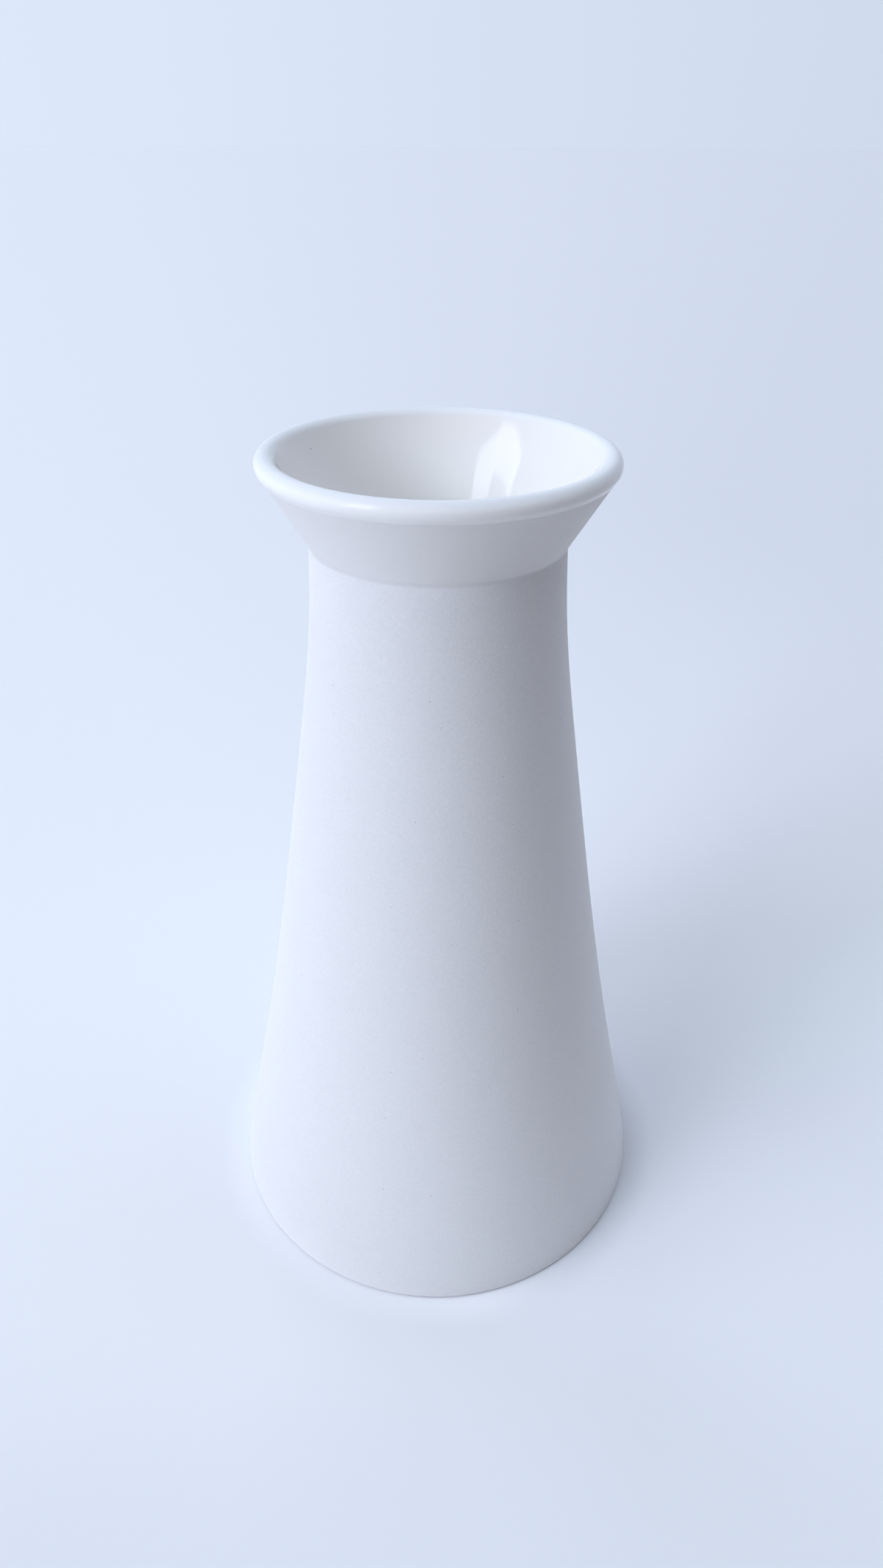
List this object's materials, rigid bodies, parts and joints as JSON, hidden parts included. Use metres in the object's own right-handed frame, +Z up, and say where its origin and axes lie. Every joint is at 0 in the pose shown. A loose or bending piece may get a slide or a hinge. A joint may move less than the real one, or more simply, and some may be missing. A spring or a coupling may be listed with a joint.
{
  "type": "trumpet vase",
  "caption": "Small bud vase with a wide foot, a hollow flank drawn in to a slim neck and a flared mouth; bare matt porcelain outside, gloss glaze inside and over the lip.",
  "frame": {"origin": "centre of the foot, on the table", "axes": "+Z up along the axis of revolution, -Y towards the viewer of the picture, +X to the viewer's right"},
  "size_m": [0.0838, 0.0838, 0.15],
  "materials": {
    "bare_porcelain": "matt unglazed bisque",
    "fired_slip": "matt fired slip",
    "gloss_glaze": "clear gloss glaze"
  },
  "bodies": {
    "root": {"vase_body": "bare_porcelain", "flared_mouth": "bare_porcelain", "luting_slip": "fired_slip", "inner_glaze": "gloss_glaze"}
  },
  "joints": []
}
